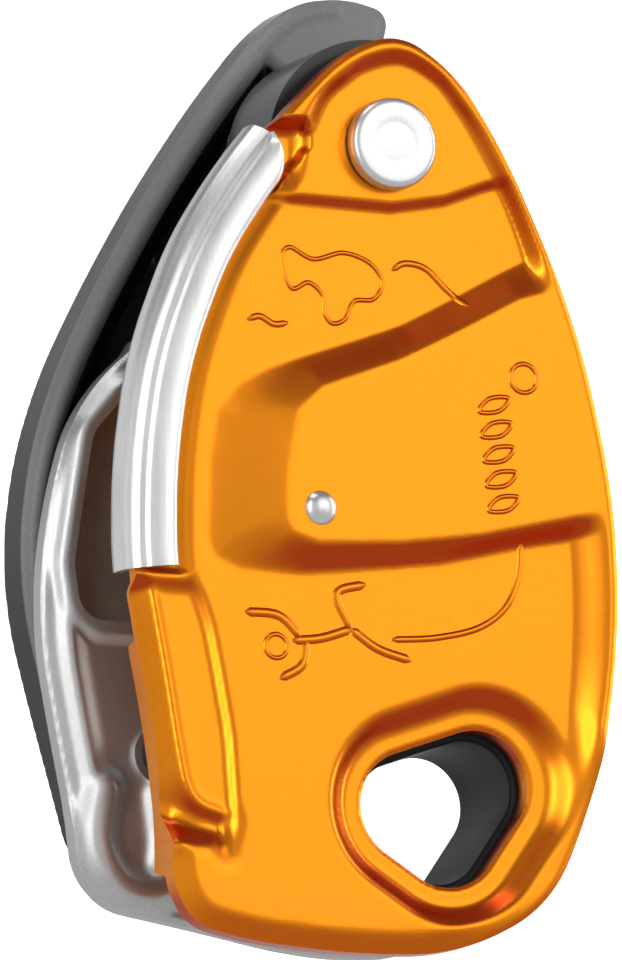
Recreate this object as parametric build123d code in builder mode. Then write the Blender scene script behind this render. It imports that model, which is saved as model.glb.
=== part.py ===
from build123d import *

import os
from math import acos, atan2, cos, degrees, hypot, pi, radians, sin, tan

# Assisted-braking belay device: two pressed side plates with a sprung cam between them and a folding lever.
# Frame, in millimetres: the origin is the centre of the carabiner eye, midway between the plates' inner
# faces. +Z runs up to the pivot of the moving side plate, +X to the right seen from the front, and -Y out
# of the front.

os.makedirs("parts", exist_ok=True)

# ---------------------------------------------------------------- driving dimensions
plate_width = 61.0  # moving side plate, left to right
plate_height = 108.5  # moving side plate, bottom to top
drawn_width = 61.0  # the size at which the outline points below are drawn
drawn_height = 108.5

rope_gap = 13.0  # between the plates' inner faces, for a rope of up to 11
sheet = 2.6  # thickness of the pressed side plates
relief = 2.2  # height of the moving plate's rim and band above its pockets
pad_rise = 0.8  # height of the pivot pad above the upper pocket
pad_lap = 2.6  # how far the pad laps the axle's head
dish_depth = 2.0  # how far the eye is dished in from the lower pocket
wall_slope = 45.0  # degrees from upright, of the pressed walls
roll_slope = 40.0  # degrees, of the rolled left and bottom edges
rise_slope = 20.0  # degrees, of the raised pads' and frames' sides
head_slope = 25.0  # degrees, of the rivet heads' sides
pocket_corner = 2.0  # corner radius of the pockets
running = 0.05  # radial clearance of a shaft in its bush
seated = 0.02  # radial clearance of a pressed or riveted piece
side_play = 0.3  # clearance between pieces that slide past each other

nose_reach = 13.4  # pivot axis below the top of the plates
pivot_shift = -8.5  # pivot axis in X
pivot_radius = 4.0
pivot_bush_wall = 1.2
pivot_head_lap = 1.4  # how far the axle's front head stands out from its shaft
pivot_head_height = 2.2
pivot_head_round = 0.8
rear_head_lap = 1.6
rear_head_height = 1.2
hub_inset = 0.2  # from the plates' top to the hub's
hub_rivet_inset = 3.4
hub_rivet_angles = (25.0, 165.0)
hub_heel_radius = 4.0  # of the hub's lower left corner
hub_heel_angle = 205.0

cam_drop = 33.0  # cam axis below the pivot axis
cam_shift = -8.0  # cam axis in X
cam_radius = 16.0
cam_nose_radius = 5.0
cam_nose_reach = 15.5
cam_nose_angle = 152.0
groove_half_angle = 110.0  # the rope lies in the groove from this angle above +X to as far below it
cam_axle_radius = 5.0
cam_bush_wall = 1.5
rope_radius = 5.6  # of the groove for the largest rope
groove_radius = 20.0  # cam axis to the middle of the rope
spring_wire = 1.0
spring_pitch = 1.3
spring_turns = 3.0
shoe_thickness = 4.5  # of the steel shoe that the cam presses the rope against
shoe_gap = 26.0  # cam axis to the shoe's face
shoe_washer_gap = 0.8  # between the shoe's upper end and the washer on the pivot
shoe_end_angle = 128.0  # of the shoe's lower end, above +X
shoe_rivet_inset = 5.0  # degrees, from the shoe's ends to its rivets
shoe_rivet_radius = 1.2
hub_rivet_radius = 1.5
small_head = 0.8  # height of the small rivets' rear heads
small_head_lap = 1.0
shank_short = 0.4  # how far short of the far face the small rivets end
washer_thickness = 0.5
washer_width = 3.4
axle_key = 7.0  # side of the cam axle's square end
axle_thread = 2.5
nut_flats = 8.0
nut_height = 2.0
thread_end = 0.4  # of the thread beyond the nut
cam_bush_flange = 1.6  # width of the bush's flange behind the fixed plate

eye_corner = 6.5  # corner radius of the eye
eye_points = [(-4.1, 0.0), (4.1, 3.0), (0.3, -2.7)]  # centres of its corners
eye_rim = 3.0  # flat ring round the eye
liner_outer = 0.8  # the liner's outside lies this far outside the eye
liner_wall = 1.6
liner_lip = 0.6  # round of its front lip
liner_flange = 1.2  # thickness of the liner's rear flange
liner_flange_width = 2.4

strip_thickness = 1.4
strip_face_width = 5.0
strip_wrap = 5.8  # how far the strip's side runs back from the plate's front
strip_bottom, strip_top = 25.5, 78.6
flange_depth = 3.6  # how far the plate's left flange runs back from its inner face
flange_bottom, flange_top = -9.5, 17.5
strip_play = 0.5  # round the strip, in its seat
strip_rivet_radius = 2.1
strip_rivet_height = 0.9
strip_rivet_at = (-17.6, 33.6)

window_points = [(-29.0, 21.5), (-40.6, 21.5), (-41.6, 28.0), (-39.2, 43.5), (-34.5, 49.0), (-29.0, 49.0)]
window_corner = 3.2
frame_width = 2.2  # raised frame round the window
frame_rise = 1.4
wear_plate_thickness = 1.2
wear_plate_corner = 1.5
wear_rivet_radius = 1.1
wear_rivet_lap = 0.9
wear_rivet_height = 0.4
wear_rivets_at = [(-24.2, 25.0), (-30.8, 53.2)]
foot_rise = 2.4  # raised foot at the fixed plate's lower left

stud_at = (-30.0, 6.3)
stud_radius = 2.7
stud_height = 2.6
stud_shank = 1.4
stud_ring_width = 0.9
stud_ring_height = 0.6

carrier_thickness = 2.4
carrier_gap = 2.3  # between the fixed plate and the lever carrier
carrier_hub_radius = 11.0
carrier_tip_radius = 6.5
hinge_at = (-27.0, 4.0)
hinge_radius = 3.0
hinge_bush_wall = 1.2
hinge_front_head = 0.8
hinge_head_lap = 2.0
hinge_head_height = 1.6
hinge_boss_width = 1.6  # of the handle, round the hinge bush

handle_gap = 1.5  # between the fixed plate and the handle's outer wall
handle_depth = 7.8  # of the outer wall
handle_wall = 2.4
handle_floor = 2.4
insert_thickness = 1.2
insert_rib = 1.6  # width of the insert's rib
insert_rib_height = 2.4
tab_line = 90.5  # above this the handle's tip is a solid tab
tab_step = 2.4  # from the lip down to the tab's face
handle_rivet_radius = 1.4
handle_rivet_lap = 1.0
handle_rivet_height = 0.5
handle_rivets_at = [(-30.5, 30.0), (-25.5, 51.0)]

selector_at = (8.0, 20.0)
selector_radius = 7.0
selector_height = 3.4
selector_flutes = 8
selector_flute_radius = 1.3
selector_ridge = (2.2, 9.0, 1.6)  # width, length and height of the ridge across the knob
selector_shaft_radius = 2.6
selector_screw_radius = 1.5
selector_screw_lap = 0.8  # how far the screw's head laps the shaft
selector_screw_height = 1.4

# ---------------------------------------------------------------- places that follow from them
stretch_x = plate_width / drawn_width
stretch_z = plate_height / drawn_height


def at(x, z):
    """A point of an outline as drawn, moved to the plate's present size."""
    return (x * stretch_x, z * stretch_z)


plate_top = 90.5 * stretch_z
pivot = (pivot_shift * stretch_x, plate_top - nose_reach)
cam_axis = (cam_shift * stretch_x, pivot[1] - cam_drop)
pivot_head_radius = pivot_radius + pivot_head_lap
hinge = at(*hinge_at)
selector = at(*selector_at)
strip_rivet_place = at(*strip_rivet_at)
stud = at(*stud_at)
wear_rivet_places = [at(x, z) for x, z in wear_rivets_at]
handle_rivet_places = [at(x, z) for x, z in handle_rivets_at]

moving_inner = -rope_gap / 2  # Y of each face, front to back
moving_floor = moving_inner - sheet
moving_pad = moving_floor - pad_rise
moving_face = moving_floor - relief
fixed_inner = rope_gap / 2
fixed_back = fixed_inner + sheet
carrier_front = fixed_back + carrier_gap
carrier_back = carrier_front + carrier_thickness
handle_front = fixed_back + handle_gap
handle_back = handle_front + handle_depth
floor_front = handle_back - handle_floor
cam_half = rope_gap / 2 - side_play
dish_front = moving_floor + dish_depth  # front face of the eye's rim
dish_back = dish_front + sheet


def layer(y):
    """The drawing plane at that Y: its x is X, its y is Z, and it extrudes towards the front."""
    return Plane.XZ.offset(-y)


def save(part, name):
    part.label = name
    export_step(part, f"parts/{name}.step")


# ---------------------------------------------------------------- outlines
moving_outline = [
    (-7.5, 90.5), (0.0, 85.8), (6.0, 77.0), (15.2, 57.8), (20.0, 37.0), (20.6, 21.0), (17.6, 2.5),
    (11.8, -10.2), (0.5, -17.0), (-12.0, -18.0), (-26.0, -16.9), (-33.0, -14.0), (-35.6, -7.0), (-37.6, 8.0),
    (-40.2, 24.0), (-40.0, 38.0), (-38.2, 51.0), (-33.2, 64.2), (-27.6, 73.0), (-22.0, 80.0), (-14.6, 87.6),
]
fixed_outline = [
    (-7.5, 90.0), (-0.4, 85.4), (5.6, 77.0), (14.8, 57.8), (19.6, 37.0), (20.2, 21.0), (17.2, 2.5),
    (11.4, -9.8), (0.5, -16.0), (-12.0, -16.0), (-26.0, -13.6), (-36.6, -12.0), (-40.4, -8.0), (-41.2, -1.0),
    (-43.0, 7.5), (-45.0, 18.0), (-45.2, 27.0), (-43.9, 36.0), (-41.6, 44.4), (-37.8, 50.2), (-31.6, 55.8),
    (-28.2, 61.5), (-26.4, 68.0), (-23.4, 74.6), (-19.6, 81.0), (-14.4, 87.0),
]


def corner_radius(before, here, after):
    """The radius of the largest round that fits at a corner and leaves room for its neighbours."""
    side_in = hypot(here[0] - before[0], here[1] - before[1])
    side_out = hypot(after[0] - here[0], after[1] - here[1])
    turn = atan2(after[1] - here[1], after[0] - here[0]) - atan2(here[1] - before[1], here[0] - before[0])
    half_turn = abs((turn + pi) % (2 * pi) - pi) / 2
    return 0.47 * min(side_in, side_out) / tan(half_turn)


def moved_corner(before, here, after, amount):
    """A corner of a clockwise outline whose two sides have both moved outward by that much."""
    side_in = hypot(here[0] - before[0], here[1] - before[1])
    side_out = hypot(after[0] - here[0], after[1] - here[1])
    across_in = ((before[1] - here[1]) / side_in, (here[0] - before[0]) / side_in)
    across_out = ((here[1] - after[1]) / side_out, (after[0] - here[0]) / side_out)
    share = amount / (1 + across_in[0] * across_out[0] + across_in[1] * across_out[1])
    move_x = share * (across_in[0] + across_out[0])
    move_z = share * (across_in[1] + across_out[1])
    return (here[0] + move_x, here[1] + move_z)


def smooth_shape(points, grow=0.0):
    """A closed outline, grown by that much, whose rounded corners almost meet each other."""
    corners = [at(x, z) for x, z in points]
    before = corners[-1:] + corners[:-1]
    after = corners[1:] + corners[:1]
    corners = [moved_corner(*three, grow) for three in zip(before, corners, after)]
    before = corners[-1:] + corners[:-1]
    after = corners[1:] + corners[:1]
    with BuildSketch() as drawn:
        with BuildLine():
            rounds = [corner_radius(*three) for three in zip(before, corners, after)]
            FilletPolyline(*corners, radius=rounds, close=True)
        make_face()
    return drawn.sketch


def rounded_shape(points, corner):
    """A closed straight-sided outline with rounded corners."""
    with BuildSketch() as drawn:
        with BuildLine():
            FilletPolyline(*[at(x, z) for x, z in points], radius=corner, close=True)
        make_face()
    return drawn.sketch


def ribbon_shape(points, width):
    """A ribbon of that width along a smoothly bent line."""
    line = [at(x, z) for x, z in points]
    bends = [corner_radius(*three) for three in zip(line[:-2], line[1:-1], line[2:])]
    with BuildSketch() as drawn:
        with BuildLine():
            FilletPolyline(*line, radius=bends)
        trace(line_width=width)
    return drawn.sketch


def left_band(points, grow, low, high, width):
    """The strip of that width inside a grown outline's left edge, between two heights."""
    with BuildSketch() as drawn:
        add(smooth_shape(points, grow))
        add(smooth_shape(points, grow - width), mode=Mode.SUBTRACT)
        with Locations(at(-60.0, (low + high) / 2)):
            side = (Align.MIN, Align.CENTER)
            Rectangle(48.0 * stretch_x, (high - low) * stretch_z, align=side, mode=Mode.INTERSECT)
    return drawn.sketch


def eye_shape(grow=0.0):
    """The eye's outline, the hull of three round corners, grown by that much."""
    with BuildSketch() as drawn:
        for x, z in eye_points:
            with Locations((x, z)):
                Circle(eye_corner + grow)
        make_hull()
    return drawn.sketch


# ---------------------------------------------------------------- moving side plate and its edge strip
upper_pocket = [
    (-60.0, 38.0), (-31.0, 38.0), (-30.2, 46.0), (-25.5, 49.6), (-11.0, 54.4), (3.0, 61.6), (8.6, 63.6),
    (5.2, 71.4), (0.2, 79.6), (-3.8, 84.0), (-7.5, 85.6), (-12.0, 84.2), (-16.4, 80.0), (-19.0, 74.0),
    (-30.0, 70.0), (-60.0, 70.0),
]
lower_pocket = [
    (-60.0, 27.6), (-30.0, 27.6), (-25.0, 26.0), (-14.0, 26.6), (2.0, 28.8), (12.0, 32.0), (15.6, 29.4),
    (15.8, 18.0), (14.6, 9.0), (12.0, 1.5), (6.5, -8.5), (0.5, -26.0), (-60.0, -26.0),
]
band_hollow = [
    (-22.5, 31.5), (-18.0, 31.0), (2.0, 33.0), (13.5, 36.5), (10.5, 56.5), (5.0, 56.5), (-17.0, 46.5),
    (-21.5, 43.5),
]
upright_side = [
    (-19.0, 100.0), (-19.0, 78.0), (-8.0, 60.0), (-4.0, 10.0), (8.0, -10.0), (13.0, -30.0), (60.0, -30.0),
    (60.0, 100.0),
]
roll = tan(radians(roll_slope))  # how far the rolled edges lean in, for each millimetre forward
strip_front = moving_floor - strip_thickness
strip_back = strip_front + strip_wrap
moving_shape = smooth_shape(moving_outline)
strip_shape = smooth_shape(moving_outline, strip_thickness)
strip_band = left_band(
    moving_outline, strip_thickness, strip_bottom, strip_top, strip_face_width + strip_thickness,
)
strip_seat = left_band(
    moving_outline, 0.0, strip_bottom - strip_play, strip_top + strip_play, strip_face_width + strip_play,
)
flange_band = left_band(moving_outline, 0.0, flange_bottom, flange_top, sheet)

strip_height = moving_inner - strip_front
with BuildPart() as strip:
    with BuildSketch(layer(strip_back)):
        add(strip_shape)
    extrude(amount=strip_back - moving_inner)
    with BuildSketch(layer(moving_inner)):
        add(strip_shape)
    with BuildSketch(layer(strip_front)):
        add(smooth_shape(moving_outline, strip_thickness - strip_height * roll))
    loft(ruled=True)
    with BuildSketch(layer(strip_back)):
        add(moving_shape)
    extrude(amount=strip_back - moving_inner, mode=Mode.SUBTRACT)
    with BuildSketch(layer(moving_inner)):
        add(moving_shape)
    with BuildSketch(layer(moving_floor)):
        add(smooth_shape(moving_outline, -sheet * roll))
    loft(ruled=True, mode=Mode.SUBTRACT)
    # only the left edge carries it, and its face reaches a little way in
    with BuildSketch(layer(strip_back)):
        add(strip_band)
    extrude(amount=strip_wrap, mode=Mode.INTERSECT)
save(strip.part, "wear_strip")

with BuildPart() as moving_plate:
    with BuildSketch(layer(moving_inner)):
        add(moving_shape)
    with BuildSketch(layer(moving_face)):
        add(smooth_shape(moving_outline, -(sheet + relief) * roll))
    loft(ruled=True)
    # its right and top edges stand upright, and the others roll back
    with BuildSketch(layer(moving_inner)):
        add(moving_shape)
        add(rounded_shape(upright_side, pocket_corner), mode=Mode.INTERSECT)
    extrude(amount=sheet + relief)
    for pocket in (upper_pocket, lower_pocket):
        with BuildSketch(layer(moving_floor)):
            add(rounded_shape(pocket, pocket_corner))
        extrude(amount=relief, taper=-wall_slope, mode=Mode.SUBTRACT)
    with BuildSketch(layer(moving_floor)):
        with Locations(pivot):
            Circle(pivot_head_radius + pad_lap)
    extrude(amount=pad_rise, taper=rise_slope)
    # the left flange runs back beside the rope, below the edge strip
    with BuildSketch(layer(moving_inner + flange_depth)):
        add(flange_band)
    extrude(amount=flange_depth)
    # the edge strip lies on a flat edge at the pockets' level
    with BuildSketch(layer(moving_floor)):
        add(strip_seat)
    extrude(amount=relief, mode=Mode.SUBTRACT)
    # the band is pressed out, so it is hollow behind
    with BuildSketch(layer(moving_inner)):
        add(rounded_shape(band_hollow, pocket_corner))
    extrude(amount=relief, taper=30, mode=Mode.SUBTRACT)
    # the eye's rim is dished in
    with BuildSketch(layer(dish_back)):
        add(eye_shape(eye_rim))
    extrude(amount=dish_back - moving_inner)
    with BuildSketch(layer(dish_front)):
        add(eye_shape(eye_rim))
    extrude(amount=dish_depth + relief, taper=-wall_slope, mode=Mode.SUBTRACT)
    with BuildSketch(layer(dish_back)):
        add(eye_shape())
    extrude(amount=3 * sheet, mode=Mode.SUBTRACT)
    # seats of the bush, the rivet and the edge strip
    with BuildSketch(layer(moving_inner)):
        with Locations(pivot):
            Circle(pivot_radius + pivot_bush_wall + seated)
        with Locations(strip_rivet_place):
            Circle(strip_rivet_radius / 2 + seated)
    extrude(amount=2 * sheet + relief, mode=Mode.SUBTRACT)
save(moving_plate.part, "moving_side_plate")


def turned(name, stations, centre):
    """A round piece along Y: each station is its radius, then the Y where it starts and ends."""
    with BuildPart() as piece:
        for radius, front, back in stations:
            with BuildSketch(layer(back)):
                with Locations(centre):
                    Circle(radius)
            extrude(amount=back - front)
    save(piece.part, name)
    return piece.part


def ring(name, inner, outer, front, back, centre):
    """A plain round bush, ring or washer along Y."""
    with BuildPart() as piece:
        with BuildSketch(layer(back)):
            with Locations(centre):
                Circle(outer)
                Circle(inner, mode=Mode.SUBTRACT)
        extrude(amount=back - front)
    save(piece.part, name)
    return piece.part


def rivets(name, places, radius, front, back, front_head=0.0, rear_head=0.0, head_radius=0.0):
    """A set of like rivets, one solid each, with a head on either end where its height isn't zero."""
    with BuildPart() as piece:
        with BuildSketch(layer(back)):
            with Locations(*places):
                Circle(radius)
        extrude(amount=back - front)
        if front_head:
            with BuildSketch(layer(front)):
                with Locations(*places):
                    Circle(head_radius)
            extrude(amount=front_head, taper=head_slope)
        if rear_head:
            with BuildSketch(layer(back)):
                with Locations(*places):
                    Circle(head_radius)
            extrude(amount=-rear_head, taper=head_slope)
    save(piece.part, name)
    return piece.part


def polar(centre, radius, angle):
    """The point that far from a centre, at an angle anticlockwise from +X."""
    return (centre[0] + radius * cos(radians(angle)), centre[1] + radius * sin(radians(angle)))


ring("pivot_bush", pivot_radius + running, pivot_radius + pivot_bush_wall, moving_pad, moving_inner, pivot)
rivets("strip_rivet", [strip_rivet_place], strip_rivet_radius / 2, moving_face, moving_inner - shank_short,
       front_head=strip_rivet_height, head_radius=strip_rivet_radius)

# ---------------------------------------------------------------- fixed side plate
fixed_shape = smooth_shape(fixed_outline)
window_shape = rounded_shape(window_points, window_corner)
foot_points = [(-35.0, -9.0), (-14.5, -12.6), (-13.0, -6.0), (-18.0, -1.0), (-31.0, 0.0), (-37.0, -1.0)]
shoe_middle = shoe_gap + shoe_thickness / 2
shoe_back = shoe_gap + shoe_thickness
pivot_angle = degrees(atan2(pivot[1] - cam_axis[1], pivot[0] - cam_axis[0]))
pivot_far = hypot(pivot[0] - cam_axis[0], pivot[1] - cam_axis[1])
washer_clear = pivot_radius + washer_width + shoe_washer_gap
shoe_turn = degrees(acos((pivot_far**2 + shoe_back**2 - washer_clear**2) / (2 * pivot_far * shoe_back)))
shoe_start_angle = pivot_angle + shoe_turn
shoe_rivet_angles = (shoe_start_angle + shoe_rivet_inset, shoe_end_angle - shoe_rivet_inset)
shoe_rivet_places = [polar(cam_axis, shoe_middle, angle) for angle in shoe_rivet_angles]
hub_radius = nose_reach - hub_inset
hub_rivet_places = [polar(pivot, hub_radius - hub_rivet_inset, angle) for angle in hub_rivet_angles]

with BuildPart() as fixed_plate:
    with BuildSketch(layer(fixed_back)):
        add(fixed_shape)
    extrude(amount=sheet)
    with BuildSketch(layer(fixed_inner)):
        add(window_shape)
        offset(amount=frame_width)
    extrude(amount=frame_rise, taper=rise_slope)
    with BuildSketch(layer(fixed_inner)):
        add(rounded_shape(foot_points, pocket_corner))
    extrude(amount=foot_rise, taper=rise_slope)
    with BuildSketch(layer(fixed_back)):
        add(window_shape)
        add(eye_shape(liner_outer + seated))
        with Locations(pivot):
            Circle(pivot_radius + seated)
        with Locations(cam_axis):
            Circle(cam_axle_radius + cam_bush_wall + seated)
        with Locations(selector):
            Circle(selector_shaft_radius + running)
        with Locations(stud):
            Circle(stud_shank + seated)
        with Locations(*shoe_rivet_places):
            Circle(shoe_rivet_radius + seated)
        with Locations(*hub_rivet_places):
            Circle(hub_rivet_radius + seated)
        with Locations(*wear_rivet_places):
            Circle(wear_rivet_radius + seated)
    extrude(amount=2 * sheet + foot_rise, mode=Mode.SUBTRACT)
save(fixed_plate.part, "fixed_side_plate")

wear_back = fixed_back + wear_plate_thickness
wear_plate_points = [
    (-21.8, 27.6), (-21.8, 22.4), (-26.0, 19.4), (-41.0, 19.4), (-43.4, 28.0), (-40.8, 44.6), (-34.4, 52.6),
    (-32.6, 55.6), (-28.6, 55.6), (-27.2, 50.0),
]
with BuildPart() as wear_plate:
    with BuildSketch(layer(wear_back)):
        add(rounded_shape(wear_plate_points, wear_plate_corner))
        with Locations(*wear_rivet_places):
            Circle(wear_rivet_radius + seated, mode=Mode.SUBTRACT)
    extrude(amount=wear_plate_thickness)
save(wear_plate.part, "window_wear_plate")
rivets("wear_plate_rivets", wear_rivet_places, wear_rivet_radius, fixed_inner, wear_back,
       front_head=wear_rivet_height, head_radius=wear_rivet_radius + wear_rivet_lap)

liner_front = dish_back + side_play
liner_back = fixed_back + liner_flange
with BuildPart() as liner:
    with BuildSketch(layer(fixed_back)):
        add(eye_shape(liner_outer))
    extrude(amount=fixed_back - liner_front)
    with BuildSketch(layer(liner_back)):
        add(eye_shape(liner_outer + liner_flange_width))
    extrude(amount=liner_flange)
    with BuildSketch(layer(liner_back)):
        add(eye_shape(liner_outer - liner_wall))
    extrude(amount=liner_back - liner_front, mode=Mode.SUBTRACT)
    fillet(liner.faces().sort_by(Axis.Y)[0].inner_wires()[0].edges(), liner_lip)
save(liner.part, "eye_liner")

stud_seat = fixed_inner - stud_ring_height
turned("guide_stud", [
    (stud_radius, fixed_inner - stud_height, stud_seat), (stud_shank, stud_seat, fixed_back),
], stud)
ring("guide_stud_ring", stud_shank + seated, stud_radius + stud_ring_width, stud_seat, fixed_inner, stud)

# ---------------------------------------------------------------- hub, shoe and pivot between the plates
hub_front = -cam_half + washer_thickness
with BuildPart() as hub:
    with BuildSketch(layer(fixed_inner)):
        with Locations(pivot):
            Circle(hub_radius)
        with Locations(polar(pivot, hub_radius - 1.0, hub_heel_angle)):
            Circle(hub_heel_radius)
        make_hull()
        with Locations(cam_axis):
            Circle(shoe_back + seated, mode=Mode.SUBTRACT)
        with Locations(pivot):
            Circle(pivot_radius + seated, mode=Mode.SUBTRACT)
        with Locations(*hub_rivet_places):
            Circle(hub_rivet_radius + seated, mode=Mode.SUBTRACT)
    extrude(amount=fixed_inner - hub_front)
save(hub.part, "hub_spacer")
rivets("hub_rivets", hub_rivet_places, hub_rivet_radius, hub_front + shank_short, fixed_back,
       rear_head=small_head, head_radius=hub_rivet_radius + small_head_lap)
ring("thrust_washer", pivot_radius + seated, pivot_radius + washer_width, -cam_half, hub_front, pivot)

shoe_sweep = shoe_end_angle - shoe_start_angle
with BuildPart() as shoe:
    with BuildSketch(layer(fixed_inner)):
        with BuildLine():
            low = CenterArc(cam_axis, shoe_gap, shoe_start_angle, shoe_sweep)
            high = CenterArc(cam_axis, shoe_back, shoe_start_angle, shoe_sweep)
            Line(low @ 0, high @ 0)
            Line(low @ 1, high @ 1)
        make_face()
        with Locations(*shoe_rivet_places):
            Circle(shoe_rivet_radius + seated, mode=Mode.SUBTRACT)
    extrude(amount=fixed_inner + cam_half)
save(shoe.part, "friction_shoe")
rivets("shoe_rivets", shoe_rivet_places, shoe_rivet_radius, -cam_half, fixed_back,
       rear_head=small_head, head_radius=shoe_rivet_radius + small_head_lap)

with BuildPart() as pivot_axle:
    with BuildSketch(layer(fixed_back)):
        with Locations(pivot):
            Circle(pivot_radius)
    extrude(amount=fixed_back - moving_pad + side_play)
    with BuildSketch(layer(moving_pad - side_play)):
        with Locations(pivot):
            Circle(pivot_head_radius)
    extrude(amount=pivot_head_height)
    fillet(pivot_axle.faces().sort_by(Axis.Y)[0].edges(), pivot_head_round)
    with BuildSketch(layer(fixed_back)):
        with Locations(pivot):
            Circle(pivot_radius + rear_head_lap)
    extrude(amount=-rear_head_height, taper=head_slope)
save(pivot_axle.part, "pivot_axle")

# ---------------------------------------------------------------- cam, its axle and its spring
bush_outer = cam_axle_radius + cam_bush_wall
spring_radius = bush_outer + side_play + spring_wire
recess_depth = spring_pitch * spring_turns + spring_wire + side_play
groove_plane = Plane(
    origin=(cam_axis[0], 0, cam_axis[1]),
    x_dir=(cos(radians(groove_half_angle)), 0, sin(radians(groove_half_angle))),
    z_dir=(-sin(radians(groove_half_angle)), 0, cos(radians(groove_half_angle))),
)
cam_line = Axis((cam_axis[0], 0, cam_axis[1]), (0, 1, 0))

with BuildPart() as cam:
    with BuildSketch(layer(cam_half)):
        with Locations(cam_axis):
            Circle(cam_radius)
        with Locations(polar(cam_axis, cam_nose_reach, cam_nose_angle)):
            Circle(cam_nose_radius)
        make_hull()
    extrude(amount=2 * cam_half)
    with BuildSketch(groove_plane):
        with Locations((groove_radius, 0)):
            Circle(rope_radius)
    revolve(axis=cam_line, revolution_arc=2 * groove_half_angle, mode=Mode.SUBTRACT)
    with BuildSketch(layer(cam_half)):
        with Locations(cam_axis):
            Circle(cam_axle_radius + seated)
    extrude(amount=2 * cam_half, mode=Mode.SUBTRACT)
    with BuildSketch(layer(cam_half)):
        with Locations(cam_axis):
            Circle(spring_radius + spring_wire)
            Circle(spring_radius - spring_wire, mode=Mode.SUBTRACT)
    extrude(amount=recess_depth, mode=Mode.SUBTRACT)
save(cam.part, "cam")

spring_start = cam_half - spring_wire / 2
with BuildPart() as spring:
    with BuildLine() as coil:
        Helix(
            pitch=spring_pitch, height=spring_pitch * spring_turns, radius=spring_radius,
            center=(cam_axis[0], spring_start, cam_axis[1]), direction=(0, -1, 0),
        )
    with BuildSketch(Plane(origin=coil.line @ 0, z_dir=coil.line % 0)):
        Circle(spring_wire / 2)
    sweep(path=coil.line, is_frenet=True)
save(spring.part, "cam_spring")

with BuildPart() as cam_bush:
    with BuildSketch(layer(fixed_back)):
        with Locations(cam_axis):
            Circle(bush_outer)
    extrude(amount=sheet)
    with BuildSketch(layer(fixed_back)):
        with Locations(cam_axis):
            Circle(bush_outer + cam_bush_flange)
    extrude(amount=-small_head)
    with BuildSketch(layer(fixed_back + small_head)):
        with Locations(cam_axis):
            Circle(cam_axle_radius + running)
    extrude(amount=2 * sheet, mode=Mode.SUBTRACT)
save(cam_bush.part, "cam_bush")

arm_angle = degrees(atan2(hinge[1] - cam_axis[1], hinge[0] - cam_axis[0]))
with BuildPart() as cam_axle:
    with BuildSketch(layer(carrier_front)):
        with Locations(cam_axis):
            Circle(cam_axle_radius)
    extrude(amount=carrier_front + cam_half)
    with BuildSketch(layer(carrier_back)):
        with Locations(Location((*cam_axis, 0), arm_angle)):
            Rectangle(axle_key, axle_key)
    extrude(amount=carrier_thickness)
    with BuildSketch(layer(carrier_back)):
        with Locations(cam_axis):
            Circle(axle_thread)
    extrude(amount=-nut_height - thread_end)
save(cam_axle.part, "cam_axle")

with BuildPart() as carrier:
    with BuildSketch(layer(carrier_back)):
        with Locations(cam_axis):
            Circle(carrier_hub_radius)
        with Locations(hinge):
            Circle(carrier_tip_radius)
        make_hull()
        with Locations(Location((*cam_axis, 0), arm_angle)):
            Rectangle(axle_key + 2 * seated, axle_key + 2 * seated, mode=Mode.SUBTRACT)
        with Locations(hinge):
            Circle(hinge_radius + seated, mode=Mode.SUBTRACT)
    extrude(amount=carrier_thickness)
save(carrier.part, "lever_carrier")

with BuildPart() as nut:
    with BuildSketch(layer(carrier_back + nut_height)):
        with Locations(cam_axis):
            RegularPolygon(nut_flats / 2, 6, major_radius=False)
            Circle(axle_thread + seated, mode=Mode.SUBTRACT)
    extrude(amount=nut_height)
save(nut.part, "axle_nut")

# ---------------------------------------------------------------- folding handle
handle_outline = [
    (-2.0, 98.6), (2.2, 97.2), (1.2, 93.2), (-5.5, 84.5), (-12.0, 74.0), (-17.0, 62.0), (-20.0, 49.0),
    (-21.0, 36.0), (-20.0, 22.0), (-17.4, 10.0), (-16.6, 1.0), (-21.0, -5.8), (-29.0, -8.0), (-36.8, -5.6),
    (-39.6, 4.0), (-42.4, 13.5), (-44.8, 22.5), (-45.5, 31.5), (-44.2, 42.0), (-41.0, 52.0), (-35.6, 63.0),
    (-28.6, 74.5), (-20.8, 85.4), (-13.2, 93.4), (-7.6, 97.6),
]
outer_side = [
    (-60.0, 2.0), (-34.0, 2.0), (-34.0, 50.0), (-22.0, 74.0), (-6.0, 92.0), (-6.0, 110.0), (-60.0, 110.0),
]
tab_front = handle_front + tab_step
low_wall_front = carrier_back + side_play
handle_shape = smooth_shape(handle_outline)
handle_inside = smooth_shape(handle_outline, -handle_wall)
insert_shape = smooth_shape(handle_outline, -handle_wall - side_play)
rib_points = [(-33.0, 34.0), (-32.4, 48.0), (-26.4, 62.0), (-17.0, 77.0), (-10.5, 84.5)]

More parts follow.
